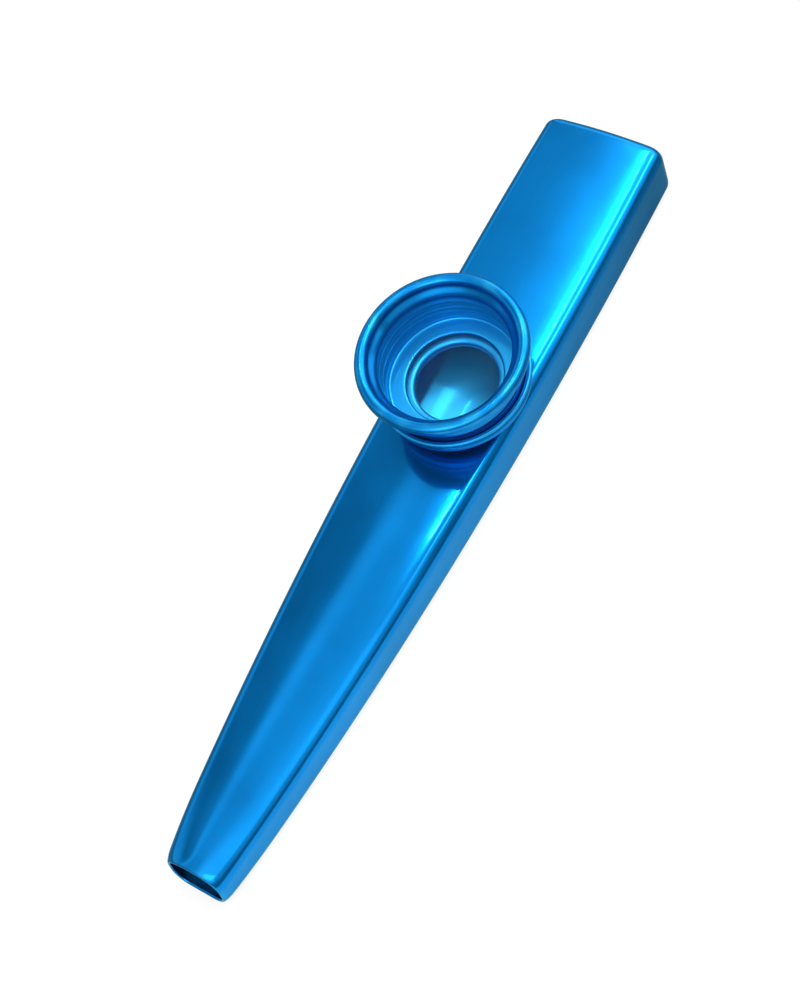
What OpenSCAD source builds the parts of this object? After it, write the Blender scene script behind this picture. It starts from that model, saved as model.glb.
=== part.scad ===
// Metal kazoo: a tapered sheet body, a collar crimped into its top, a cup that screws into
// the collar, and a membrane clamped between the two.
// X runs along the body to its wide end, Y across it and Z up. The origin is the middle of
// the body's length, on the surface that the body rests on.

/* [Body] */
// Length of the body
body_length = 120; // [90:1:180]
// Outer width of the narrow end
narrow_w = 9.2; // [9:0.1:13]
// Outer height of the narrow end
narrow_h = 7.2; // [6.4:0.1:9]
// Widest outer width of the body
belly_w = 19.6; // [19:0.1:26]
// Distance from the narrow end to the widest place
belly_x = 94; // [70:1:105]
// Outer width of the wide end
wide_w = 18.8; // [17:0.1:24]
// Outer height of the wide end
wide_h = 9.6; // [8.6:0.1:13]
// How fast the sides swell from the narrow end
swell_power = 2.25; // [1.6:0.05:3]
// Sheet thickness of the body
body_wall = 0.5; // [0.4:0.05:0.6]
// Rounding of the four long edges
edge_r = 1.8; // [1.2:0.1:2.4]
// Rise of the top face in its middle over its edges
top_crown = 0.35; // [0.1:0.05:0.6]

/* [Ends] */
// How far the narrow end's lip is drawn in
narrow_turn = 0.3; // [0:0.05:0.4]
// Length of the narrow end's drawn lip
narrow_lip = 2; // [1:0.1:3]
// How far the narrow end's upper lip lies back from its lower lip
lip_set_back = 1.4; // [0:0.1:2]
// Length over which the slant of the narrow end fades out
lip_fade = 12; // [8:0.5:20]
// How far the wide end turns in from its sides
wide_turn_side = 1.8; // [1.5:0.1:4]
// How far the wide end turns in from its top and bottom
wide_turn_top = 1.6; // [0.8:0.1:2.4]

/* [Boss] */
// Distance from the wide end to the turret's axis
turret_from_wide = 44.4; // [35:0.1:60]
// Outer diameter of the boss drawn from the top face
boss_d = 15.2; // [14.8:0.1:15.6]
// Height of the boss over the middle of the top face
boss_h = 1.4; // [1:0.1:3]
// Rounding of the boss at its foot and its shoulder
boss_r = 0.5; // [0.2:0.05:0.6]

/* [Collar] */
// Inner diameter of the sound hole
sound_hole_d = 11.8; // [10:0.1:12]
// Sheet thickness of the collar
collar_sheet = 0.5; // [0.3:0.05:0.55]
// Height of the collar's wall over its seat
collar_wall_h = 2.3; // [1.8:0.1:3]
// Width of the flat lip that is rolled out under the boss
crimp_w = 0.3; // [0.1:0.05:0.35]

/* [Membrane] */
// Outer diameter of the membrane and its ring
membrane_d = 17.6; // [17:0.1:18]
// Inner diameter of the ring
ring_hole_d = 15.2; // [14.6:0.1:15.8]
// Thickness of the ring
ring_t = 0.4; // [0.2:0.05:0.8]
// Thickness of the film
film_t = 0.1; // [0.05:0.01:0.15]

/* [Cup] */
// Diameter over the crests of the cup's rolled thread
thread_d = 20.2; // [20:0.1:20.6]
// Depth of the rolled thread
thread_depth = 0.3; // [0.2:0.05:0.4]
// Pitch of the rolled thread
thread_pitch = 1.8; // [1.4:0.1:2.2]
// Turns of thread on the cup's wall
thread_turns = 3; // [2:1:4]
// Sheet thickness of the cup
cup_sheet = 0.5; // [0.3:0.05:0.6]
// Bend radius at the edge of the cup's floor, at the middle of the sheet
cup_bend_r = 0.55; // [0.4:0.05:0.8]
// Opening in the cup's floor
floor_hole_d = 13.7; // [12.5:0.1:13.9]
// Height of the cup
cup_h = 8.5; // [8:0.1:12]
// Diameter over the rolled rim
rim_d = 24.2; // [23.8:0.1:28]
// Diameter of the roll that forms the rim
rim_roll_d = 1.8; // [1.6:0.1:2]

/* [Fits] */
// Running clearance between the cup's thread and the collar, on the radius
thread_clearance = 0.08; // [0.05:0.01:0.1]
// Clearance between the collar's neck and the hole in the boss, on the radius
neck_clearance = 0.05; // [0.03:0.01:0.08]

/* [Hidden] */
$fn = 96;
anodised = [0.02, 0.42, 0.82];
paper = [0.93, 0.92, 0.88];
clear_film = [0.85, 0.9, 0.95, 0.5];

// Steps of the loft: round a corner, across the top, down a side, round a lip, along the body
corner_steps = 4;
top_steps = 10;
side_steps = 4;
lip_steps = 6;
edge_steps = 4;
body_steps = 15;
// Steps of a quarter bend and of one turn of thread in a sheet profile
bend_steps = 6;
wave_steps = 8;
flare_steps = 8;

// Rounding of the body's sheet at its openings, and the height of the narrow end's lower lip
edge_round = body_wall / 2;
lip_z = edge_round + turned(edge_round, narrow_turn, narrow_lip);

// Heights of the stack under and in the turret
turret_x = body_length - turret_from_wide;
boss_top = height_at(turret_x) + boss_h;
boss_foot = height_at(turret_x) - top_crown - body_wall / 3;
seat_top = boss_top + collar_sheet;
ring_top = seat_top + ring_t;
film_top = ring_top + film_t;
cup_top = film_top + cup_h;

// Radii of the turret's sheet, at the middle of its thickness
neck_r = (sound_hole_d + collar_sheet) / 2;
neck_bore_d = sound_hole_d + 2 * (collar_sheet + neck_clearance);
boss_cavity_d = boss_d - 2 * body_wall;
collar_r = thread_d / 2 + thread_clearance + collar_sheet / 2;
tight_bend_r = collar_sheet / 2 + neck_clearance;
bowl_bend_r = collar_sheet;
thread_mid_r = (thread_d - thread_depth - cup_sheet) / 2;
rim_bend_r = (rim_roll_d - cup_sheet) / 2;
rim_mid_r = (rim_d - rim_roll_d) / 2;
rim_curl_end = -95;
// How far the cuts run past what they open
overrun = 0.8;

// Height of the body's middle line and half its width at a distance from the narrow end
function height_at(x) = narrow_h + (wide_h - narrow_h) * x / body_length;
function half_width_at(x) =
    x < belly_x
    ? belly_w / 2 - (belly_w - narrow_w) / 2 * pow((belly_x - x) / belly_x, swell_power)
    : belly_w / 2 - (belly_w - wide_w) / 2 * pow((x - belly_x) / (body_length - belly_x), 2);

// How far a turned end lies inside the full section, at a distance from its lip
function turned(d, turn, depth) =
    d >= depth ? 0 : turn * (1 - sqrt(max(0, 1 - pow(1 - max(d, 0) / depth, 2))));

// Turn of the skin at x, on the sides and on the top and bottom
function side_turn(x, t) =
    t + turned(x, narrow_turn, narrow_lip)
    + turned(body_length - x - t, wide_turn_side - t, wide_turn_side - t);
function top_turn(x, t) =
    t + turned(x, narrow_turn, narrow_lip)
    + turned(body_length - x - t, wide_turn_top - t, wide_turn_top - t);

// How far a point lies back at the slanted narrow end
function set_back(x, z) =
    lip_set_back * (z - lip_z) / (narrow_h - 2 * lip_z) * pow(max(0, 1 - x / lip_fade), 2);

// One ring of the loft: a rounded rectangle whose crowned top runs smoothly into its corners
function corner(cy, cz, r, from, to) =
    [for (i = [0 : corner_steps])
        let (a = from + (to - from) * i / corner_steps) [cy + r * cos(a), cz + r * sin(a)]];
function span(from, to, steps) = [for (i = [1 : steps - 1]) from + (to - from) * i / steps];
function crowned(points, half, slope) =
    [for (p = points) [p[0], p[1] + half * tan(slope) / 2 * (1 - pow(p[0] / half, 2))]];
function section(w, bottom, top, r, rise) =
    let (
        y = w - r,
        lo = bottom + r,
        slope = atan(2 * rise / y),
        arc_y = y + r * sin(slope),
        arc_z = top + rise - arc_y * tan(slope) / 2,
        hi = arc_z - r * cos(slope)
    )
    concat(
        corner(y, hi, r, 0, 90 - slope),
        crowned(span([arc_y, arc_z], [-arc_y, arc_z], top_steps), arc_y, slope),
        corner(-y, hi, r, 90 + slope, 180),
        span([-w, hi], [-w, lo], side_steps),
        corner(-y, lo, r, 180, 270),
        span([-y, bottom], [y, bottom], top_steps),
        corner(y, lo, r, 270, 360),
        span([w, lo], [w, hi], side_steps)
    );
function loft_ring(x, turn_side, turn_top, r) =
    let (
        w = half_width_at(x) - turn_side,
        top = height_at(x) - top_crown - turn_top,
        fit_r = min(r, (top - turn_top) / 2 - body_wall / 4)
    )
    [for (p = section(w, turn_top, top, fit_r, top_crown)) [x + set_back(x, p[1]), p[0], p[1]]];

// Stations along the body: close together in the turned ends, wide apart between them
function stations(t) = concat(
    [for (i = [0 : lip_steps]) edge_round + (narrow_lip - edge_round) * (1 - cos(90 * i / lip_steps))],
    span(narrow_lip, body_length - wide_turn_side, body_steps),
    [for (i = [lip_steps : -1 : 0])
        body_length - t - (wide_turn_side - t) * (1 - cos(90 * i / lip_steps))]
);
function skin(t, r) =
    [for (x = stations(t)) loft_ring(x, side_turn(x, t), top_turn(x, t), r)];

// The rounded edge of the sheet, from the outer skin to the inner one: at the wide end, where
// it faces inwards, and at the narrow end, where it faces out of the mouth
function wide_edge() =
    [for (i = [1 : edge_steps - 1])
        let (
            a = 180 * i / edge_steps,
            out = edge_round * sin(a),
            depth = edge_round * (1 - cos(a))
        )
        loft_ring(body_length - depth, wide_turn_side + out, wide_turn_top + out, edge_r - depth)];
function narrow_edge() =
    [for (i = [1 : edge_steps - 1])
        let (
            a = 180 * i / edge_steps,
            depth = edge_round * (1 - cos(a)),
            inset = depth + turned(edge_round, narrow_turn, narrow_lip)
        )
        loft_ring(edge_round * (1 - sin(a)), inset, inset, edge_r - depth)];
function reversed(list) = [for (i = [len(list) - 1 : -1 : 0]) list[i]];

module lofted_shell() {
    rings = concat(
        skin(0, edge_r),
        wide_edge(),
        reversed(skin(body_wall, edge_r - body_wall)),
        reversed(narrow_edge())
    );
    m = len(rings);
    n = len(rings[0]);
    polyhedron(
        points = [for (ring = rings) each ring],
        faces = [for (i = [0 : m - 1], k = [0 : n - 1])
            let (a = i * n, b = (i + 1) % m * n, j = (k + 1) % n)
            each [[a + k, b + k, b + j], [a + k, b + j, a + j]]]
    );
}

// Points of an arc, and the closed outline of a sheet that follows a path
function arc(c, r, from, to, steps) =
    [for (i = [0 : steps]) let (a = from + (to - from) * i / steps) c + r * [cos(a), sin(a)]];
function unit(v) = v / norm(v);
function side_of(path, i) =
    let (
        before = unit(path[max(i, 1)] - path[max(i, 1) - 1]),
        after = unit(path[min(i, len(path) - 2) + 1] - path[min(i, len(path) - 2)]),
        mean = unit(before + after)
    )
    [-mean[1], mean[0]] / (mean * before);
function sheet_outline(path, t) = concat(
    [for (i = [0 : len(path) - 1]) path[i] + t / 2 * side_of(path, i)],
    [for (i = [len(path) - 1 : -1 : 0]) path[i] - t / 2 * side_of(path, i)]
);

module at_turret() {
    translate([turret_x, 0, 0])
        children();
}

module centred() {
    translate([-body_length / 2, 0, 0])
        children();
}

// The boss: a concave foot, a straight side and a rounded shoulder
module boss() {
    rotate_extrude()
        polygon(concat(
            [[0, boss_foot]],
            arc([boss_d / 2 + boss_r, boss_foot + boss_r], boss_r, 270, 180, bend_steps),
            arc([boss_d / 2 - boss_r, boss_top - boss_r], boss_r, 0, 90, bend_steps),
            [[0, boss_top]]
        ));
}

module boss_hollow() {
    hollow_foot = boss_foot - overrun;
    translate([0, 0, hollow_foot])
        cylinder(d = boss_cavity_d, h = boss_top - body_wall - hollow_foot);
    translate([0, 0, hollow_foot])
        cylinder(d = neck_bore_d, h = boss_top + overrun - hollow_foot);
}

module body_shell() {
    color(anodised)
        centred()
            difference() {
                union() {
                    lofted_shell();
                    at_turret()
                        boss();
                }
                at_turret()
                    boss_hollow();
            }
}

// The collar: crimped lip, neck, rolled edge of the sound hole, seat, wall and outer lip
module turret_collar() {
    seat_mid = boss_top + collar_sheet / 2;
    crimp_mid = boss_top - body_wall - collar_sheet / 2;
    neck_bend_x = neck_r + tight_bend_r;
    wall_top = seat_top + collar_wall_h - collar_sheet / 2 - tight_bend_r;
    path = concat(
        [[neck_bend_x + crimp_w, crimp_mid]],
        arc([neck_bend_x, crimp_mid + tight_bend_r], tight_bend_r, 270, 180, bend_steps),
        arc([neck_bend_x, seat_mid - tight_bend_r], tight_bend_r, 180, 90, bend_steps),
        arc([collar_r - bowl_bend_r, seat_mid + bowl_bend_r], bowl_bend_r, 270, 360, bend_steps),
        arc([collar_r + tight_bend_r, wall_top], tight_bend_r, 180, 90, bend_steps)
    );
    color(anodised)
        centred()
            at_turret()
                rotate_extrude()
                    polygon(sheet_outline(path, collar_sheet));
}

module membrane_ring() {
    color(paper)
        centred()
            at_turret()
                translate([0, 0, seat_top])
                    difference() {
                        cylinder(d = membrane_d, h = ring_t);
                        translate([0, 0, -overrun])
                            cylinder(d = ring_hole_d, h = ring_t + 2 * overrun);
                    }
}

module membrane_film() {
    color(clear_film)
        centred()
            at_turret()
                translate([0, 0, ring_top])
                    cylinder(d = membrane_d, h = film_t);
}

// The cup: floor with its opening, bend, rolled thread, flare and open roll of the rim
function thread_r(z, crest_z) =
    thread_mid_r - thread_depth / 2 * cos(360 * (z - crest_z) / thread_pitch);
module screw_cup() {
    floor_mid = film_top + cup_sheet / 2;
    thread_low = floor_mid + cup_bend_r;
    crest_z = thread_low + thread_pitch;
    rim_mid_z = cup_top - rim_roll_d / 2;
    thread_high = thread_low + thread_turns * thread_pitch;
    low_r = thread_r(thread_low, crest_z);
    flare_r = rim_mid_r - rim_bend_r;
    high_r = thread_r(thread_high, crest_z);
    path = concat(
        [[floor_hole_d / 2, floor_mid]],
        arc([low_r - cup_bend_r, thread_low], cup_bend_r, 270, 360, bend_steps),
        [for (i = [1 : thread_turns * wave_steps])
            let (z = thread_low + i * thread_pitch / wave_steps) [thread_r(z, crest_z), z]],
        [for (i = [1 : flare_steps - 1])
            let (s = i / flare_steps)
            [high_r + (flare_r - high_r) * (1 - cos(180 * s)) / 2,
                thread_high + (rim_mid_z - thread_high) * s]],
        arc([rim_mid_r, rim_mid_z], rim_bend_r, 180, rim_curl_end, 3 * bend_steps)
    );
    color(anodised)
        centred()
            at_turret()
                rotate_extrude()
                    polygon(sheet_outline(path, cup_sheet));
}

body_shell();
turret_collar();
membrane_ring();
membrane_film();
screw_cup();
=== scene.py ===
"""A metal kazoo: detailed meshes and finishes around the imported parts, in metres."""

import math

import bpy
import numpy as np
from mathutils import Matrix, Vector

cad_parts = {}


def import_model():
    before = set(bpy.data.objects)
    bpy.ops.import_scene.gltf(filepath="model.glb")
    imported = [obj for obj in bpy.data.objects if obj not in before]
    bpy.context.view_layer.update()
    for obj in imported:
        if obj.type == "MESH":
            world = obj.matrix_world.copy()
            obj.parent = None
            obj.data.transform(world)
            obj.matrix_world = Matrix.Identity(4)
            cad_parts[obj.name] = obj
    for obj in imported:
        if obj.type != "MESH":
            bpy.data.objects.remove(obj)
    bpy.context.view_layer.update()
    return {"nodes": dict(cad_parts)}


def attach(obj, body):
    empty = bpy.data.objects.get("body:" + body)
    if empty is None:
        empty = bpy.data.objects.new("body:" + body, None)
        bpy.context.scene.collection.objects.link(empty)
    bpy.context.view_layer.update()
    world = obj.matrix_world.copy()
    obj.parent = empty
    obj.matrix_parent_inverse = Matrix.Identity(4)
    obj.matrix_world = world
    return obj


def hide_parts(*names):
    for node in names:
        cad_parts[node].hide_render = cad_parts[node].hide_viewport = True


MM = 0.001
TAU = 2 * math.pi

# Body, in mm, with x from the narrow end
BODY_LENGTH = 120.0
NARROW_W = 9.2
NARROW_H = 7.2
BELLY_W = 19.6
BELLY_X = 94.0
WIDE_W = 18.8
WIDE_H = 9.6
SWELL_POWER = 2.25
BODY_WALL = 0.5
EDGE_ROUND = BODY_WALL / 2
EDGE_R = 1.8
TOP_CROWN = 0.35
NARROW_TURN = 0.3
NARROW_LIP = 2.0
LIP_SET_BACK = 1.4
LIP_FADE = 12.0
WIDE_TURN_SIDE = 1.8
WIDE_TURN_TOP = 1.6
MOUTH_R = 2.6
LEAST_FLAT = 0.25

# Shading inside the body, in mm: the trough's radius, and the fade of the painted light by the
# turret
TROUGH_R = 14.0
LIT_FADE = 12.0

# Turret, in mm
TURRET_X = 75.6
BOSS_D = 15.2
BOSS_H = 1.4
BOSS_R = 0.5
SOUND_HOLE_D = 11.8
COLLAR_SHEET = 0.5
COLLAR_WALL_H = 2.3
COLLAR_GROOVE = 0.2
CRIMP_W = 0.3
RING_T = 0.4
FILM_T = 0.1
THREAD_D = 20.2
THREAD_DEPTH = 0.3
THREAD_PITCH = 1.8
THREAD_TURNS = 3
THREAD_FADE = 0.5
CUP_SHEET = 0.5
CUP_BEND_R = 0.55
FLOOR_HOLE_D = 13.7
CUP_H = 8.5
RIM_D = 24.2
RIM_ROLL_D = 1.8
RIM_CURL_END = -95.0
THREAD_CLEARANCE = 0.08
NECK_CLEARANCE = 0.05

# Mesh fineness
CORNER_STEPS = 14
TOP_STEPS = 44
SIDE_STEPS = 10
LIP_STEPS = 22
EDGE_STEPS = 8
BODY_STEPS = 110
TURN_STEPS = 256
BEND_STEPS = 10
WAVE_STEPS = 20
FLARE_STEPS = 14
RIM_STEPS = 40
CAP_STEPS = 6

# Camera: place and sensor in mm, aim and roll in degrees, focal length and image height in pixels
CAMERA_AT = (-59.26, -102.65, 220.52)
CAMERA_AZIMUTH = -119.101
CAMERA_ELEVATION = 61.148
CAMERA_ROLL = -34.189
CAMERA_SENSOR = 36.0
FOCAL_PX = 1791.88
IMAGE_HEIGHT = 1000.0


# Meshes


def mesh_piece(name, vertices, faces, material, worn, inner):
    """A smooth mesh object from vertices in mm, with its wear and the inside's painted light on its
    points.
    """
    mesh = bpy.data.meshes.new(name)
    mesh.from_pydata((np.asarray(vertices) * MM).tolist(), [], faces)
    mesh.polygons.foreach_set("use_smooth", [True] * len(mesh.polygons))
    for label, values in (("worn", worn), ("inner", inner)):
        layer = mesh.attributes.new(label, "FLOAT", "POINT")
        layer.data.foreach_set("value", np.asarray(values, dtype=np.float32))
    mesh.materials.append(material)
    mesh.update()
    piece = bpy.data.objects.new(name, mesh)
    bpy.context.collection.objects.link(piece)
    return piece


def grid_faces(rows, columns, closed):
    """Quads between the rings of a grid; a closed grid joins its last ring to its first."""
    faces = []
    for i in range(rows if closed else rows - 1):
        a = i * columns
        b = (i + 1) % rows * columns
        for k in range(columns):
            j = (k + 1) % columns
            faces.append((a + k, b + k, b + j, a + j))
    return faces


def smooth_share(t):
    """A smooth 0 to 1 for numbers in an array."""
    t = np.clip(t, 0.0, 1.0)
    return t * t * (3 - 2 * t)


# Body


def height_at(x):
    """The body's full height."""
    return NARROW_H + (WIDE_H - NARROW_H) * x / BODY_LENGTH


def half_width_at(x):
    """Half the body's width, which swells towards the belly."""
    if x < BELLY_X:
        return (BELLY_W - (BELLY_W - NARROW_W) * ((BELLY_X - x) / BELLY_X) ** SWELL_POWER) / 2
    return (BELLY_W - (BELLY_W - WIDE_W) * ((x - BELLY_X) / (BODY_LENGTH - BELLY_X)) ** 2) / 2


def turned(d, turn, depth):
    """How far a turned end lies inside the full section, at a distance from its lip."""
    if d >= depth:
        return 0.0
    return turn * (1 - math.sqrt(max(0.0, 1 - (1 - max(d, 0.0) / depth) ** 2)))


def arc(cy, cz, r, start, end, steps):
    """Points of an arc, between two angles in degrees."""
    a = np.radians(np.linspace(start, end, steps + 1))
    return np.stack([cy + r * np.cos(a), cz + r * np.sin(a)], axis=1)


def span(start, end, steps):
    """Points inside a straight line, without its ends."""
    t = np.linspace(0.0, 1.0, steps + 1)[1:-1, None]
    return np.asarray(start) * (1 - t) + np.asarray(end) * t


def section(w, bottom, top, r, rise):
    """A rounded rectangle whose crowned top runs smoothly into its corners."""
    y = w - r
    low = bottom + r
    slope = math.atan(2 * rise / y)
    arc_y = y + r * math.sin(slope)
    arc_z = top + rise - arc_y * math.tan(slope) / 2
    high = arc_z - r * math.cos(slope)
    lean = math.degrees(slope)
    across = span((arc_y, arc_z), (-arc_y, arc_z), TOP_STEPS)
    across[:, 1] += arc_y * math.tan(slope) / 2 * (1 - (across[:, 0] / arc_y) ** 2)
    return np.concatenate([
        arc(y, high, r, 0, 90 - lean, CORNER_STEPS),
        across,
        arc(-y, high, r, 90 + lean, 180, CORNER_STEPS),
        span((-w, high), (-w, low), SIDE_STEPS),
        arc(-y, low, r, 180, 270, CORNER_STEPS),
        span((-y, bottom), (y, bottom), TOP_STEPS),
        arc(y, low, r, 270, 360, CORNER_STEPS),
        span((w, low), (w, high), SIDE_STEPS),
    ])


def loft_ring(x, turn_side, turn_top, r):
    """One ring of the body, with rounder corners towards the mouth."""
    w = half_width_at(x) - turn_side
    top = height_at(x) - TOP_CROWN - turn_top
    round_r = r + (MOUTH_R - EDGE_R) * max(0.0, 1 - x / LIP_FADE) ** 2
    fit_r = min(round_r, (top - turn_top - LEAST_FLAT) / 2)
    points = section(w, turn_top, top, fit_r, TOP_CROWN)
    return np.insert(points, 0, x - BODY_LENGTH / 2 + set_back(x, points[:, 1]), axis=1)


def set_back(x, z):
    """How far points lie back at the slanted narrow end."""
    low = EDGE_ROUND + turned(EDGE_ROUND, NARROW_TURN, NARROW_LIP)
    return LIP_SET_BACK * (z - low) / (NARROW_H - 2 * low) * max(0.0, 1 - x / LIP_FADE) ** 2


def stations(t):
    """Places of the rings of one skin along the body, closer together at both ends."""
    ease = 1 - np.cos(np.linspace(0, math.pi / 2, LIP_STEPS + 1))
    narrow = EDGE_ROUND + (NARROW_LIP - EDGE_ROUND) * ease
    wide = BODY_LENGTH - t - (WIDE_TURN_SIDE - t) * ease[::-1]
    between = np.linspace(NARROW_LIP, BODY_LENGTH - WIDE_TURN_SIDE, BODY_STEPS + 1)[1:-1]
    return np.concatenate([narrow, between, wide])


def skin(t, r):
    """The rings of one skin, at a depth below the outside."""
    rings = []
    for x in stations(t):
        drawn = t + turned(x, NARROW_TURN, NARROW_LIP)
        far = BODY_LENGTH - x - t
        side = drawn + turned(far, WIDE_TURN_SIDE - t, WIDE_TURN_SIDE - t)
        top = drawn + turned(far, WIDE_TURN_TOP - t, WIDE_TURN_TOP - t)
        rings.append(loft_ring(x, side, top, r))
    return rings


def edge_angles():
    return [math.pi * i / EDGE_STEPS for i in range(1, EDGE_STEPS)]


def wide_edge():
    """The sheet's rounded edge at the wide end, where it faces inwards."""
    rings = []
    for a in edge_angles():
        out = EDGE_ROUND * math.sin(a)
        depth = EDGE_ROUND * (1 - math.cos(a))
        x = BODY_LENGTH - depth
        rings.append(loft_ring(x, WIDE_TURN_SIDE + out, WIDE_TURN_TOP + out, EDGE_R - depth))
    return rings


def narrow_edge():
    """The sheet's rounded edge at the narrow end, where it faces out of the mouth."""
    rings = []
    for a in edge_angles():
        depth = EDGE_ROUND * (1 - math.cos(a))
        inset = depth + turned(EDGE_ROUND, NARROW_TURN, NARROW_LIP)
        x = EDGE_ROUND * (1 - math.sin(a))
        rings.append(loft_ring(x, inset, inset, EDGE_R - depth))
    return rings


def body_shell(material):
    """The hollow body, with the round opening that the boss sits in."""
    outer_rings = skin(0, EDGE_R) + wide_edge()
    inner_rings = skin(BODY_WALL, EDGE_R - BODY_WALL)[::-1]
    rings = outer_rings + inner_rings + narrow_edge()[::-1]
    ring_size = len(rings[0])
    first_inner = len(outer_rings) * ring_size
    points = np.concatenate(rings)
    near = points[:, 0] + BODY_LENGTH / 2
    far = BODY_LENGTH - near
    # The inside skin is marked for painted light, which fades away from the turret
    inner = np.zeros(len(points))
    inner[first_inner:first_inner + len(inner_rings) * ring_size] = 1
    beside = np.abs(near - TURRET_X) - BOSS_D / 2
    inner *= 1 - smooth_share(beside / LIT_FADE)
    worn = np.exp(-near / NARROW_LIP) + np.exp(-far / WIDE_TURN_TOP)
    faces = grid_faces(len(rings), ring_size, True)
    shell = mesh_piece("kazoo_body", points, faces, material, worn, inner)
    cutter = disc_block("hole_cutter", TURRET_X - BODY_LENGTH / 2, BOSS_D / 2 - BODY_WALL / 2,
                        NARROW_H / 2, height_at(TURRET_X) + BOSS_H)
    cut = shell.modifiers.new("sound_opening", "BOOLEAN")
    cut.operation = "DIFFERENCE"
    cut.solver = "EXACT"
    cut.object = cutter
    return keep_modified(shell, cutter)


def disc_block(name, x, r, low, high):
    """A round block, with its faces outwards, that only serves as the cutter of an opening."""
    a = np.linspace(0, TAU, TURN_STEPS, endpoint=False)
    ring = np.stack([x + r * np.cos(a), r * np.sin(a)], axis=1)
    points = [(px, py, z) for z in (high, low) for px, py in ring]
    sides = grid_faces(2, TURN_STEPS, False)
    faces = sides + [tuple(range(TURN_STEPS)), tuple(range(2 * TURN_STEPS - 1, TURN_STEPS - 1, -1))]
    mesh = bpy.data.meshes.new(name)
    mesh.from_pydata((np.asarray(points) * MM).tolist(), [], faces)
    block = bpy.data.objects.new(name, mesh)
    bpy.context.collection.objects.link(block)
    return block


def keep_modified(piece, helper):
    """Puts the piece's modified shape into its own mesh and removes the helper."""
    bpy.context.view_layer.update()
    seen = piece.evaluated_get(bpy.context.evaluated_depsgraph_get())
    mesh = bpy.data.meshes.new_from_object(seen)
    piece.modifiers.clear()
    piece.data = mesh
    helper_mesh = helper.data
    bpy.data.objects.remove(helper)
    bpy.data.meshes.remove(helper_mesh)
    mesh.polygons.foreach_set("use_smooth", [True] * len(mesh.polygons))
    return piece


# Turned and rolled pieces


BOSS_TOP = height_at(TURRET_X) + BOSS_H
SEAT_TOP = BOSS_TOP + COLLAR_SHEET
FILM_TOP = SEAT_TOP + RING_T + FILM_T
CUP_TOP = FILM_TOP + CUP_H
FLOOR_MID = FILM_TOP + CUP_SHEET / 2
THREAD_LOW = FLOOR_MID + CUP_BEND_R
THREAD_HIGH = THREAD_LOW + THREAD_TURNS * THREAD_PITCH
CREST_Z = THREAD_LOW + THREAD_PITCH
THREAD_MID_R = (THREAD_D - THREAD_DEPTH - CUP_SHEET) / 2
COLLAR_R = THREAD_D / 2 + THREAD_CLEARANCE + COLLAR_SHEET / 2
TURN_ANGLES = np.linspace(0, TAU, TURN_STEPS, endpoint=False)


def helix_phase(z, angle):
    """Phase of the right-hand thread at a height and an angle; crests of the inside are at 0."""
    return TAU * (z - CREST_Z) / THREAD_PITCH - angle


def sheet_ring(path, thickness):
    """The closed outline, with round edges, of sheet metal that follows a path of (r, z)."""
    along = np.gradient(path, axis=0)
    along /= np.linalg.norm(along, axis=1)[:, None]
    side = np.stack([-along[:, 1], along[:, 0]], axis=1)
    half = thickness / 2
    caps = []
    for end, way in ((-1, 1), (0, -1)):
        a = np.linspace(0, math.pi, CAP_STEPS + 1)[1:-1, None]
        caps.append(path[end] + half * way * (np.cos(a) * side[end] + np.sin(a) * along[end]))
    return np.concatenate([path + half * side, caps[0], (path - half * side)[::-1], caps[1]])


def rolled_piece(name, path_at, thickness, material, wear_at):
    """Revolves a sheet path whose shape may change with the angle about the turret's axis."""
    outlines = [sheet_ring(path_at(angle), thickness) for angle in TURN_ANGLES]
    points = []
    for angle, outline in zip(TURN_ANGLES, outlines):
        r = outline[:, 0]
        x = TURRET_X - BODY_LENGTH / 2 + r * math.cos(angle)
        points.append(np.stack([x, r * math.sin(angle), outline[:, 1]], axis=1))
    points = np.concatenate(points)
    faces = grid_faces(len(outlines), len(outlines[0]), True)
    # One side of the sheet, below the rim, is marked for painted light
    inner = np.tile(np.arange(len(outlines[0])) < len(outlines[0]) / 2, len(outlines))
    below_rim = smooth_share((CUP_TOP - RIM_ROLL_D - points[:, 2]) / RIM_ROLL_D)
    return mesh_piece(name, points, faces, material, wear_at(points), inner * below_rim)


def no_wear(points):
    return np.zeros(len(points))


def rim_wear(points):
    return smooth_share((points[:, 2] - (CUP_TOP - RIM_ROLL_D)) / RIM_ROLL_D)


def collar_path(angle):
    """The collar's sheet: crimp, neck, seat, threaded wall and rolled edge."""
    seat_mid = BOSS_TOP + COLLAR_SHEET / 2
    crimp_mid = BOSS_TOP - BODY_WALL - COLLAR_SHEET / 2
    tight = COLLAR_SHEET / 2 + NECK_CLEARANCE
    neck_r = (SOUND_HOLE_D + COLLAR_SHEET) / 2
    bend_x = neck_r + tight
    wall_low = seat_mid + COLLAR_SHEET
    wall_high = SEAT_TOP + COLLAR_WALL_H - COLLAR_SHEET / 2 - tight
    z = np.linspace(wall_low, wall_high, 2 * WAVE_STEPS)
    fade = smooth_share((z - wall_low) / THREAD_FADE) * smooth_share((wall_high - z) / THREAD_FADE)
    groove = COLLAR_GROOVE * fade * (1 + np.cos(helix_phase(z, angle))) / 2
    wall = np.stack([COLLAR_R - groove, z], axis=1)
    return np.concatenate([
        [[bend_x + CRIMP_W, crimp_mid]],
        arc(bend_x, crimp_mid + tight, tight, 270, 180, BEND_STEPS),
        arc(bend_x, seat_mid - tight, tight, 180, 90, BEND_STEPS),
        span((bend_x, seat_mid), (COLLAR_R - COLLAR_SHEET, seat_mid), BEND_STEPS),
        arc(COLLAR_R - COLLAR_SHEET, wall_low, COLLAR_SHEET, 270, 360, BEND_STEPS),
        wall[1:-1],
        arc(COLLAR_R + tight, wall_high, tight, 180, 90, BEND_STEPS),
    ])


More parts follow.
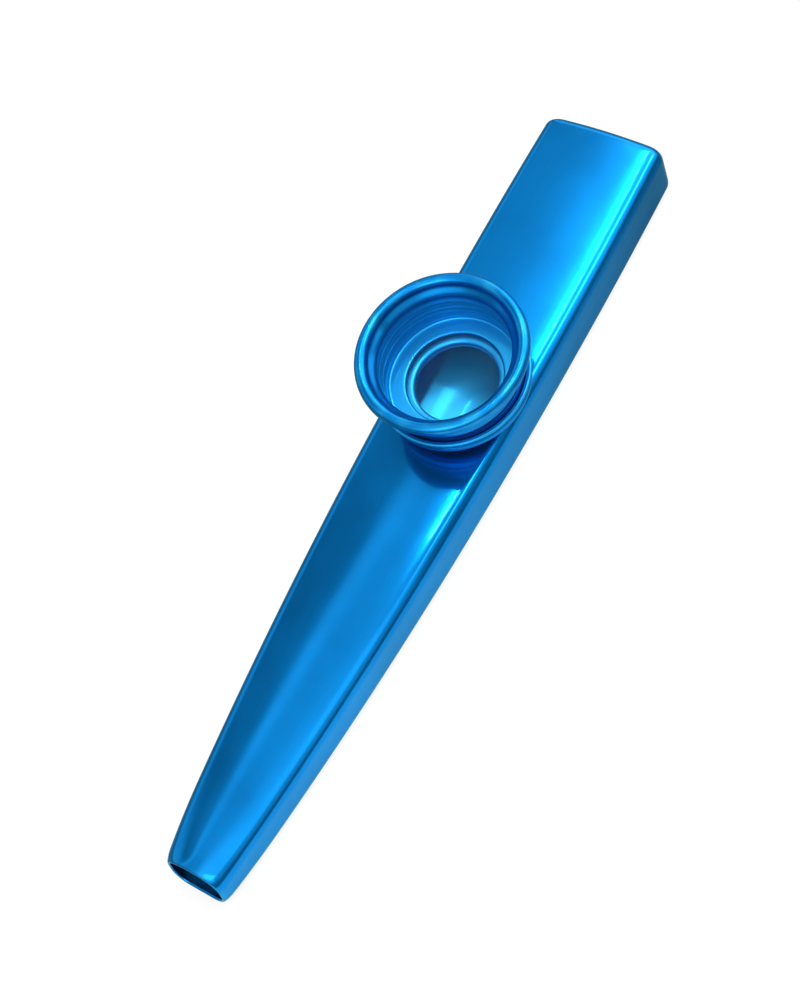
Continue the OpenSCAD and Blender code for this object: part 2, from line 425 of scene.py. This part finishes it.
def cup_path(angle):
    """The cup's sheet: floor, bend, thread, flare and curled rim."""
    rim_bend_r = (RIM_ROLL_D - CUP_SHEET) / 2
    rim_mid_r = (RIM_D - RIM_ROLL_D) / 2
    rim_mid_z = CUP_TOP - RIM_ROLL_D / 2
    flare_r = rim_mid_r - rim_bend_r
    low_r = THREAD_MID_R - THREAD_DEPTH / 2
    z = np.linspace(THREAD_LOW, THREAD_HIGH, THREAD_TURNS * WAVE_STEPS + 1)
    fade = smooth_share((z - THREAD_LOW) / THREAD_FADE)
    fade *= smooth_share((THREAD_HIGH - z) / THREAD_FADE)
    wave = THREAD_DEPTH / 2 * (1 - fade + fade * np.cos(helix_phase(z, angle)))
    thread = np.stack([THREAD_MID_R - wave, z], axis=1)
    s = np.linspace(0, 1, FLARE_STEPS + 1)[1:-1]
    flare = np.stack([
        low_r + (flare_r - low_r) * (1 - np.cos(math.pi * s)) / 2,
        THREAD_HIGH + (rim_mid_z - THREAD_HIGH) * s,
    ], axis=1)
    floor_start = (FLOOR_HOLE_D / 2 + CUP_SHEET / 2, FLOOR_MID)
    return np.concatenate([
        [floor_start],
        span(floor_start, (low_r - CUP_BEND_R, FLOOR_MID), BEND_STEPS),
        arc(low_r - CUP_BEND_R, THREAD_LOW, CUP_BEND_R, 270, 360, BEND_STEPS),
        thread[1:],
        flare,
        arc(rim_mid_r, rim_mid_z, rim_bend_r, 180, RIM_CURL_END, RIM_STEPS),
    ])


def boss(material):
    """The low round step drawn up from the body's top, with a fillet that follows the top."""
    rings = []
    wall_r = BOSS_D / 2
    cavity_r = wall_r - BODY_WALL
    bore_r = SOUND_HOLE_D / 2 + COLLAR_SHEET + NECK_CLEARANCE
    for angle in TURN_ANGLES:
        x = TURRET_X + (wall_r + BOSS_R) * math.cos(angle)
        y = (wall_r + BOSS_R) * math.sin(angle)
        foot = top_surface(x, y)
        profile = np.concatenate([
            arc(wall_r + BOSS_R, foot + BOSS_R, BOSS_R, 270, 180, BEND_STEPS),
            arc(wall_r - BOSS_R, BOSS_TOP - BOSS_R, BOSS_R, 0, 90, BEND_STEPS),
            [[bore_r, BOSS_TOP], [bore_r, BOSS_TOP - BODY_WALL], [cavity_r, BOSS_TOP - BODY_WALL]],
            [[cavity_r, foot - BODY_WALL], [wall_r, foot - BODY_WALL]],
        ])
        px = TURRET_X - BODY_LENGTH / 2 + profile[:, 0] * math.cos(angle)
        rings.append(np.stack([px, profile[:, 0] * math.sin(angle), profile[:, 1]], axis=1))
    points = np.concatenate(rings)
    plain = np.zeros(len(points))
    faces = grid_faces(len(rings), len(rings[0]), True)
    return mesh_piece("turret_boss", points, faces, material, plain, plain)


def top_surface(x, y):
    """Height of the body's crowned top at a place on it."""
    half = half_width_at(x) - EDGE_R
    slope = math.atan(2 * TOP_CROWN / half)
    arc_y = half + EDGE_R * math.sin(slope)
    if abs(y) <= arc_y:
        return height_at(x) - arc_y * math.tan(slope) / 2 * (y / arc_y) ** 2
    arc_z = height_at(x) - arc_y * math.tan(slope) / 2
    out = min(1.0, (abs(y) - half) / EDGE_R)
    return arc_z - EDGE_R * math.cos(slope) + EDGE_R * math.sqrt(1 - out * out)


# Node helpers


class Nodes:
    """Adds and links the nodes of one node tree."""

    def __init__(self, tree):
        self.tree = tree
        self.tree.nodes.clear()

    def add(self, kind, **settings):
        node = self.tree.nodes.new(kind)
        for key, value in settings.items():
            setattr(node, key, value)
        return node

    def link(self, start, end):
        self.tree.links.new(start, end)

    def feed(self, socket, value):
        """Links another node's socket, or sets a plain value."""
        if isinstance(value, bpy.types.NodeSocket):
            self.link(value, socket)
        else:
            socket.default_value = value


def graded(nodes, value, low, high, to_low, to_high):
    """A value taken from one range to another with smooth ends."""
    ramp = nodes.add("ShaderNodeMapRange", interpolation_type="SMOOTHSTEP")
    nodes.link(value, ramp.inputs["Value"])
    ramp.inputs["From Min"].default_value = low
    ramp.inputs["From Max"].default_value = high
    nodes.feed(ramp.inputs["To Min"], to_low)
    nodes.feed(ramp.inputs["To Max"], to_high)
    return ramp.outputs["Result"]


def noise(nodes, place, scale, detail):
    node = nodes.add("ShaderNodeTexNoise")
    nodes.link(place, node.inputs["Vector"])
    node.inputs["Scale"].default_value = scale
    node.inputs["Detail"].default_value = detail
    return node.outputs["Fac"]


def combined(nodes, operation, first, *others):
    """Several values joined by one operation, from left to right."""
    result = first
    for other in others:
        node = nodes.add("ShaderNodeMath", operation=operation)
        nodes.feed(node.inputs[0], result)
        nodes.feed(node.inputs[1], other)
        result = node.outputs[0]
    return result


def mixed_colour(nodes, share, a, b):
    node = nodes.add("ShaderNodeMix", data_type="RGBA")
    nodes.link(share, node.inputs["Factor"])
    for key, value in (("A", a), ("B", b)):
        nodes.feed(next(s for s in node.inputs if s.name == key and s.type == "RGBA"), value)
    return next(s for s in node.outputs if s.type == "RGBA")


def bumped(nodes, height, strength, distance):
    """A bump node over a height."""
    bump = nodes.add("ShaderNodeBump")
    bump.inputs["Strength"].default_value = strength
    bump.inputs["Distance"].default_value = distance
    nodes.link(height, bump.inputs["Height"])
    return bump


def blended(nodes, share, first, second):
    """Two shaders mixed by a share."""
    blend = nodes.add("ShaderNodeMixShader")
    nodes.link(share, blend.inputs["Fac"])
    nodes.link(first, blend.inputs[1])
    nodes.link(second, blend.inputs[2])
    return blend.outputs["Shader"]


def new_finish(name):
    """A material with an empty node tree and its output's surface socket."""
    material = bpy.data.materials.new(name)
    material.use_nodes = True
    nodes = Nodes(material.node_tree)
    return material, nodes, nodes.add("ShaderNodeOutputMaterial").inputs["Surface"]


def object_place(nodes):
    return nodes.add("ShaderNodeTexCoord").outputs["Object"]


def axes_of(nodes, vector):
    split = nodes.add("ShaderNodeSeparateXYZ")
    nodes.link(vector, split.inputs["Vector"])
    return {axis: split.outputs[axis.upper()] for axis in "xyz"}


# Finishes

# Noises: scale and detail. Ranges: from low, from high, to low, to high.
DEEP_BLUE = (0.0006, 0.160, 0.46, 1.0)
BRIGHT_BLUE = (0.001, 0.190, 0.54, 1.0)
WORN_BLUE = (0.02, 0.34, 0.62, 1.0)
# Painted light: a lighter blue on the marked inside, standing in for the light that falls in there
PAINTED_LIGHT_BLUE = (0.02, 0.42, 0.80, 1.0)
EDGE_TINT = (0.60, 0.92, 0.80, 1.0)
COAT_SHARE = 0.1
CLOUD = (70.0, 4.0)
CLOUD_RANGE = (0.35, 0.65, 0.0, 1.0)
RUB = (260.0, 6.0)
RUB_RANGE = (0.4, 0.7, 0.0, 0.5)
SMUDGE = (260.0, 3.0)
LINES = (1.0, 3.0)
GRAIN = (5200.0, 2.0)
DRAW_STRETCH = (60.0, 2600.0, 2600.0)
TURN_STRETCH = (900.0, 900.0, 2600.0)
METAL_ROUGH = (0.3, 0.7, 0.09, 0.13)
SATIN_ROUGH = (0.3, 0.7, 0.38, 0.46)
GRAIN_STRENGTH = 0.12
GRAIN_DEPTH = 0.000004
EVEN_SHARE = 0.5

# Shares of the satin layer, the painted light inside and the satin's metal; then satin and metal
# inside
BODY_SATIN = 0.32
BODY_PAINTED_LIGHT = 1.0
BODY_METAL = 0.96
CUP_SATIN = 0.5
CUP_PAINTED_LIGHT = 0.6
CUP_METAL = 0.9
INNER_SATIN = 0.9
INNER_METAL = 0.65


def trough(nodes, place, inner):
    """A normal that shades the inside floor as a shallow trough along the body."""
    at = axes_of(nodes, place)
    rise = combined(nodes, "MULTIPLY", at["y"], at["y"], 1 / (2 * TROUGH_R * MM))
    on_floor = graded(nodes, at["z"], NARROW_H / 3 * MM, NARROW_H / 2 * MM, 1.0, 0.0)
    height = combined(nodes, "MULTIPLY", rise, inner, on_floor)
    return bumped(nodes, height, 1.0, 1.0).outputs["Normal"]


def anodised(name, stretch, satin_share, inner_share, satin_metal, troughed):
    """Blue anodised aluminium: cloudy dye, fine drawing lines, smudges, paler worn edges, and
    painted light, a lighter blue on the marked inside.
    """
    material, nodes, surface = new_finish(name)
    metal = nodes.add("ShaderNodeBsdfPrincipled", distribution="MULTI_GGX")
    satin = nodes.add("ShaderNodeBsdfPrincipled", distribution="MULTI_GGX")
    metal.inputs["Metallic"].default_value = 1.0
    metal.inputs["Coat Weight"].default_value = COAT_SHARE
    place = object_place(nodes)
    cloud = noise(nodes, place, *CLOUD)
    dye = mixed_colour(nodes, graded(nodes, cloud, *CLOUD_RANGE), DEEP_BLUE, BRIGHT_BLUE)
    worn = nodes.add("ShaderNodeAttribute", attribute_name="worn").outputs["Fac"]
    rub = graded(nodes, noise(nodes, place, *RUB), *RUB_RANGE)
    rubbed = combined(nodes, "MULTIPLY", worn, rub)
    # The marked inside is painted a lighter blue, standing in for the light that falls in there
    inner = nodes.add("ShaderNodeAttribute", attribute_name="inner").outputs["Fac"]
    painted_light_mask = combined(nodes, "MULTIPLY", inner, inner_share)
    outer_shade = mixed_colour(nodes, rubbed, dye, WORN_BLUE)
    shade = mixed_colour(nodes, painted_light_mask, outer_shade, PAINTED_LIGHT_BLUE)
    metallic = graded(nodes, painted_light_mask, 0.0, 1.0, satin_metal, INNER_METAL)
    nodes.link(metallic, satin.inputs["Metallic"])
    satin_part = graded(nodes, painted_light_mask, 0.0, 1.0, satin_share, INNER_SATIN)
    nodes.link(blended(nodes, satin_part, metal.outputs["BSDF"], satin.outputs["BSDF"]), surface)
    stretched = nodes.add("ShaderNodeMapping")
    nodes.link(place, stretched.inputs["Vector"])
    stretched.inputs["Scale"].default_value = stretch
    lines = noise(nodes, stretched.outputs["Vector"], *LINES)
    smudge = noise(nodes, place, *SMUDGE)
    both = combined(nodes, "ADD", combined(nodes, "MULTIPLY", lines, EVEN_SHARE),
                    combined(nodes, "MULTIPLY", smudge, EVEN_SHARE))
    relief = combined(nodes, "ADD", noise(nodes, place, *GRAIN), lines)
    bump = bumped(nodes, relief, GRAIN_STRENGTH, GRAIN_DEPTH)
    if troughed:
        nodes.link(trough(nodes, place, inner), bump.inputs["Normal"])
    for layer, roughness in ((metal, METAL_ROUGH), (satin, SATIN_ROUGH)):
        layer.inputs["Specular Tint"].default_value = EDGE_TINT
        nodes.link(shade, layer.inputs["Base Color"])
        nodes.link(graded(nodes, both, *roughness), layer.inputs["Roughness"])
        nodes.link(bump.outputs["Normal"], layer.inputs["Normal"])
    return material


CARD_PALE = (0.80, 0.84, 0.86, 1.0)
CARD_DARK = (0.62, 0.66, 0.70, 1.0)
FIBRES = (2400.0, 6.0)
FIBRE_RANGE = (0.35, 0.7, 0.0, 1.0)
CARD_ROUGH = (0.3, 0.7, 0.75, 0.95)
FIBRE_STRENGTH = 0.5
FIBRE_DEPTH = 0.00003


def card(name):
    """Plain card: flecked fibres, rough and soft."""
    material, nodes, surface = new_finish(name)
    paper = nodes.add("ShaderNodeBsdfPrincipled")
    nodes.link(paper.outputs["BSDF"], surface)
    fibres = noise(nodes, object_place(nodes), *FIBRES)
    shade = mixed_colour(nodes, graded(nodes, fibres, *FIBRE_RANGE), CARD_PALE, CARD_DARK)
    nodes.link(shade, paper.inputs["Base Color"])
    nodes.link(graded(nodes, fibres, *CARD_ROUGH), paper.inputs["Roughness"])
    bump = bumped(nodes, fibres, FIBRE_STRENGTH, FIBRE_DEPTH)
    nodes.link(bump.outputs["Normal"], paper.inputs["Normal"])
    return material


FILM_TINT = (0.93, 0.96, 1.0, 1.0)
CREASES = (420.0, 5.0)
FILM_ALPHA = (0.3, 0.7, 0.001, 0.004)
FILM_ROUGH = (0.3, 0.7, 0.12, 0.25)
CREASE_STRENGTH = 0.15
CREASE_DEPTH = 0.00004


def clear_film(name):
    """Thin clear film: nearly all light passes, with faint creases in its gloss."""
    material, nodes, surface = new_finish(name)
    film = nodes.add("ShaderNodeBsdfPrincipled")
    nodes.link(film.outputs["BSDF"], surface)
    film.inputs["Base Color"].default_value = FILM_TINT
    creases = noise(nodes, object_place(nodes), *CREASES)
    nodes.link(graded(nodes, creases, *FILM_ALPHA), film.inputs["Alpha"])
    nodes.link(graded(nodes, creases, *FILM_ROUGH), film.inputs["Roughness"])
    bump = bumped(nodes, creases, CREASE_STRENGTH, CREASE_DEPTH)
    nodes.link(bump.outputs["Normal"], film.inputs["Normal"])
    return material


# Studio

WHITE = (1.0, 1.0, 1.0, 1.0)
FLOOR_SIZE = 3.0
FLOOR_COLOUR = (0.82, 0.82, 0.82, 1.0)
# Painted shade that gloss and the light see: its colour, then its ramps in m across y and along x
FLOOR_PAINTED_SHADE = (0.26, 0.26, 0.26, 1.0)
PAINTED_SHADE_LEFT = (0.0, 0.012, 0.0, 1.0)
PAINTED_SHADE_AHEAD = (-0.02, 0.07, 0.0, 1.0)
FLOOR_SHOWN = 0.8


def seen_ray(nodes):
    """1 for rays from the camera or through a clear surface, and 0 for gloss and the light."""
    path = nodes.add("ShaderNodeLightPath").outputs
    return combined(nodes, "MAXIMUM", path["Is Camera Ray"], path["Is Transmission Ray"])


def floor():
    """A plain pale floor that reads white and keeps a soft shadow; gloss sees it darker, and gloss
    and the light see painted shade on the far side and towards the wide end.
    """
    half = FLOOR_SIZE / 2
    mesh = bpy.data.meshes.new("floor")
    mesh.from_pydata([(-half, -half, 0), (half, -half, 0), (half, half, 0), (-half, half, 0)],
                     [], [(0, 1, 2, 3)])
    plane = bpy.data.objects.new("floor", mesh)
    bpy.context.collection.objects.link(plane)
    material, nodes, surface = new_finish("floor_paper")
    paper = nodes.add("ShaderNodeBsdfDiffuse")
    at = axes_of(nodes, object_place(nodes))
    left = graded(nodes, at["y"], *PAINTED_SHADE_LEFT)
    ahead = graded(nodes, at["x"], *PAINTED_SHADE_AHEAD)
    unseen = combined(nodes, "SUBTRACT", 1.0, seen_ray(nodes))
    # Painted shade for gloss and the light, on the far side and towards the wide end
    painted_shade = combined(nodes, "MULTIPLY", combined(nodes, "MAXIMUM", left, ahead), unseen)
    shade = mixed_colour(nodes, painted_shade, FLOOR_COLOUR, FLOOR_PAINTED_SHADE)
    nodes.link(shade, paper.inputs["Color"])
    white = nodes.add("ShaderNodeEmission")
    white.inputs["Color"].default_value = WHITE
    shown = combined(nodes, "MULTIPLY", seen_ray(nodes), FLOOR_SHOWN)
    nodes.link(blended(nodes, shown, paper.outputs["BSDF"], white.outputs["Emission"]), surface)
    mesh.materials.append(material)
    return plane


# Room seen by the gloss and the light: a base level, and glows that add to it. Each glow is a
# product of gradients, with axis, start, end, level at the start and level at the end. The
# axis "lean" runs across the part and a little along it.
ROOM_LEVEL = 0.36
LEAN_SHARE = 0.4
UPPER_PART = (0.25, 0.65, 0.0, 1.0)
CEILING_DEPTH = ("x", 0.18, 0.32, 0.85, 0.35)
OVERHEAD_GLOWS = (
    # ceiling with a crisp edge over the wide half and a soft one over the narrow half
    (("lean", 0.54, 0.49, 0.0, 1.0), ("x", 0.0, 0.06, 0.0, 1.0), CEILING_DEPTH),
    (("lean", 0.66, 0.40, 0.0, 1.0), ("x", 0.0, 0.06, 1.0, 0.0), CEILING_DEPTH),
    # wide half, and its rise towards the right edge
    (("x", 0.16, 0.30, 0.0, 0.57),),
    (("x", 0.16, 0.36, 0.0, 1.0), ("y", 0.50, 0.22, 0.0, 1.0)),
    (("x", 0.24, 0.36, 0.0, 1.3), ("y", 0.36, 0.22, 0.0, 1.0)),
    # soft stripe along the narrow half, and the rise towards its right edge
    (("lean", 0.53, 0.48, 0.0, 0.9), ("lean", 0.48, 0.40, 1.0, 0.0), ("x", 0.16, 0.24, 1.0, 0.0)),
    (("x", 0.08, 0.16, 1.0, 0.0), ("y", 0.30, 0.06, 0.0, 1.3)),
    # dark on the near side
    (("y", -0.45, -0.62, 0.0, -1.2),),
)
HORIZON_GLOWS = (
    (("x", 0.65, 0.80, 0.0, 2.0), ("z", 0.08, 0.20, 0.0, 1.0)),
    (("y", 0.66, 0.80, 0.0, 1.0), ("z", 0.10, 0.25, 0.0, 1.0)),
)


def glowing(nodes, at, glows):
    """The sum of several glows."""
    parts = []
    for glow in glows:
        gradients = [graded(nodes, at[axis], *steps) for axis, *steps in glow]
        parts.append(combined(nodes, "MULTIPLY", *gradients))
    return combined(nodes, "ADD", *parts)


def world():
    """White to the camera; for the light and the gloss, a dim room under paler glows."""
    sky = bpy.data.worlds.new("studio")
    bpy.context.scene.world = sky
    sky.use_nodes = True
    nodes = Nodes(sky.node_tree)
    out = nodes.add("ShaderNodeOutputWorld")
    at = axes_of(nodes, nodes.add("ShaderNodeTexCoord").outputs["Generated"])
    at["lean"] = combined(nodes, "ADD", at["y"], combined(nodes, "MULTIPLY", at["x"], LEAN_SHARE))
    overhead = combined(nodes, "MAXIMUM", glowing(nodes, at, OVERHEAD_GLOWS), 0.0)
    overhead = combined(nodes, "MULTIPLY", overhead, graded(nodes, at["z"], *UPPER_PART))
    level = combined(nodes, "ADD", overhead, glowing(nodes, at, HORIZON_GLOWS), ROOM_LEVEL)
    room = nodes.add("ShaderNodeBackground")
    nodes.link(level, room.inputs["Strength"])
    white = nodes.add("ShaderNodeBackground")
    white.inputs["Color"].default_value = WHITE
    seen = nodes.add("ShaderNodeLightPath").outputs["Is Camera Ray"]
    shown = blended(nodes, seen, room.outputs["Background"], white.outputs["Background"])
    nodes.link(shown, out.inputs["Surface"])


# Soft boxes: name, centre in m, size in m, radiance, and whether it is aimed at the part
SOFT_BOXES = (
    ("strip_wide", (0.63, 0.284, 1.20), (0.82, 0.012), 80.0, False),
    ("box_near", (0.48, -0.34, 1.20), (0.70, 0.22), 7.0, True),
    ("box_left", (-0.80, -0.30, 1.10), (0.60, 0.60), 2.5, False),
)


def lamps():
    """The soft boxes; the ones that aren't aimed face straight down."""
    for name, centre, size, radiance, aimed in SOFT_BOXES:
        light = bpy.data.lights.new(name, "AREA")
        light.shape = "RECTANGLE"
        light.size, light.size_y = size
        light.energy = radiance * math.pi * size[0] * size[1]
        lamp = bpy.data.objects.new(name, light)
        bpy.context.collection.objects.link(lamp)
        lamp.location = centre
        if aimed:
            lamp.rotation_euler = Vector(centre).to_track_quat("Z", "X").to_euler()


def camera():
    """The photograph's viewing angle: azimuth and elevation round the part, then the roll."""
    azimuth = math.radians(CAMERA_AZIMUTH)
    elevation = math.radians(CAMERA_ELEVATION)
    roll = math.radians(CAMERA_ROLL)
    back = Vector((math.cos(elevation) * math.cos(azimuth),
                   math.cos(elevation) * math.sin(azimuth), math.sin(elevation)))
    right = Vector((0, 0, 1)).cross(back).normalized()
    up = back.cross(right)
    across = right * math.cos(roll) + up * math.sin(roll)
    above = up * math.cos(roll) - right * math.sin(roll)
    data = bpy.data.cameras.new("photo_camera")
    data.sensor_width = CAMERA_SENSOR
    data.lens = FOCAL_PX * CAMERA_SENSOR / IMAGE_HEIGHT
    data.clip_start = MM
    eye = bpy.data.objects.new("photo_camera", data)
    bpy.context.collection.objects.link(eye)
    turn = Matrix((across, above, back)).transposed().to_4x4()
    eye.matrix_world = Matrix.Translation(Vector(CAMERA_AT) * MM) @ turn
    bpy.context.scene.camera = eye


# The scene

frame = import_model()

body_blue = anodised("anodised_drawn", DRAW_STRETCH, BODY_SATIN, BODY_PAINTED_LIGHT, BODY_METAL, True)
turned_blue = anodised("anodised_turned", TURN_STRETCH, CUP_SATIN, CUP_PAINTED_LIGHT, CUP_METAL, False)

shell = body_shell(body_blue)
step = boss(body_blue)
collar = rolled_piece("threaded_collar", collar_path, COLLAR_SHEET, turned_blue, no_wear)
cup = rolled_piece("screw_cup_rolled", cup_path, CUP_SHEET, turned_blue, rim_wear)

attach(shell, "shell")
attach(step, "shell")
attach(collar, "shell")
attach(cup, "cup")
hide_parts("body_shell")
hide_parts("turret_collar")
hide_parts("screw_cup")

CARRIED_FINISHES = {"membrane_ring": card("ring_card"), "membrane_film": clear_film("film_clear")}
for node_name, finish in CARRIED_FINISHES.items():
    node = frame["nodes"][node_name]
    node.data.materials.clear()
    node.data.materials.append(finish)

floor()
world()
lamps()
camera()
bpy.context.scene.view_settings.view_transform = "Standard"
